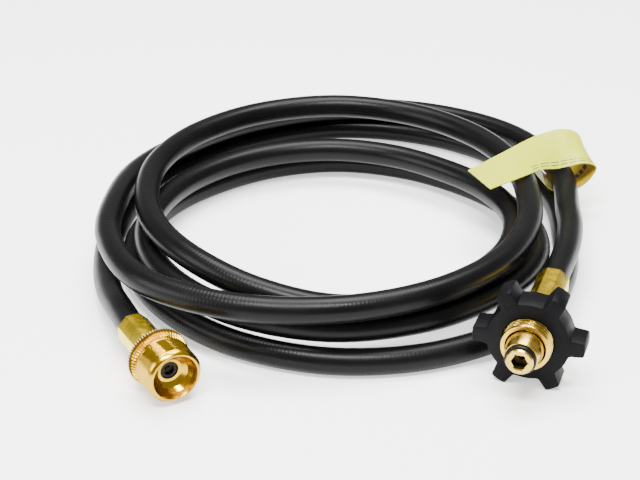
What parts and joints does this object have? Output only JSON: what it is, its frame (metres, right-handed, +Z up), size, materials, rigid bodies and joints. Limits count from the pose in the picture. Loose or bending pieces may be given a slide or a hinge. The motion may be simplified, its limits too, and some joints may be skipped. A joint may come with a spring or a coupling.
{
  "type": "gas adapter hose",
  "caption": "Coiled rubber gas adapter hose with a handwheel POL fitting at one end and a male threaded small-cylinder fitting at the other",
  "frame": {"origin": "on the surface the hose lies on, under the middle of the two end fittings' bounding box", "axes": "+Z up, +X from the cylinder-thread fitting towards the handwheel fitting, +Y from the fittings towards the coil"},
  "size_m": [0.262, 0.2992, 0.0457],
  "materials": {
    "hose_rubber": "black cloth-wrapped rubber with a faint cross ribbing and a soft sheen",
    "seal_rubber": "smooth black rubber",
    "brass": "bright turned brass",
    "ferrule_brass": "bright yellow plated crimp",
    "spring_steel": "plain steel",
    "black_plastic": "satin black moulded plastic",
    "label_vinyl": "pale yellow flag label, warmer yellow inside"
  },
  "bodies": {
    "hose_assembly": {"hose": "hose_rubber", "label": "label_vinyl", "cylinder_ferrule": "ferrule_brass", "cylinder_hose_stem": "brass", "swivel_o_ring": "seal_rubber", "pol_ferrule": "ferrule_brass", "pol_hose_stem": "brass", "pol_nipple": "brass", "nose_o_ring": "seal_rubber", "excess_flow_seat": "seal_rubber", "excess_flow_spring": "spring_steel"},
    "wheel_and_nut": {"handwheel": "black_plastic", "pol_nut": "brass"},
    "swivel_fitting": {"cylinder_fitting": "brass", "swivel_retaining_ring": "spring_steel", "valve_core": "brass", "valve_gasket": "seal_rubber", "valve_spring": "spring_steel"},
    "valve_pin": {"valve_pin": "spring_steel"},
    "excess_flow_poppet": {"excess_flow_poppet": "brass"}
  },
  "joints": [
    {"name": "wheel_turn", "type": "hinge", "parent": "hose_assembly", "child": "wheel_and_nut", "pos_m": [0.0793, -0.0117, 0.0229], "axis": [-0.3173, -0.9483, 0], "continuous": true},
    {"name": "cylinder_fitting_swivel", "type": "hinge", "parent": "hose_assembly", "child": "swivel_fitting", "pos_m": [-0.0751, -0.0326, 0.014], "axis": [0.4924, -0.8704, 0], "continuous": true},
    {"name": "valve_pin_press", "type": "slide", "parent": "swivel_fitting", "child": "valve_pin", "axis": [-0.4924, 0.8704, 0], "range_m": [0, 0.0015], "stiffness_N_per_m": 600, "springref_m": -0.001, "deforming": ["valve_spring"]},
    {"name": "excess_flow_slide", "type": "slide", "parent": "hose_assembly", "child": "excess_flow_poppet", "axis": [0.3173, 0.9483, 0], "range_m": [0, 0.002], "stiffness_N_per_m": 150, "springref_m": -0.001, "deforming": ["excess_flow_spring"]}
  ]
}
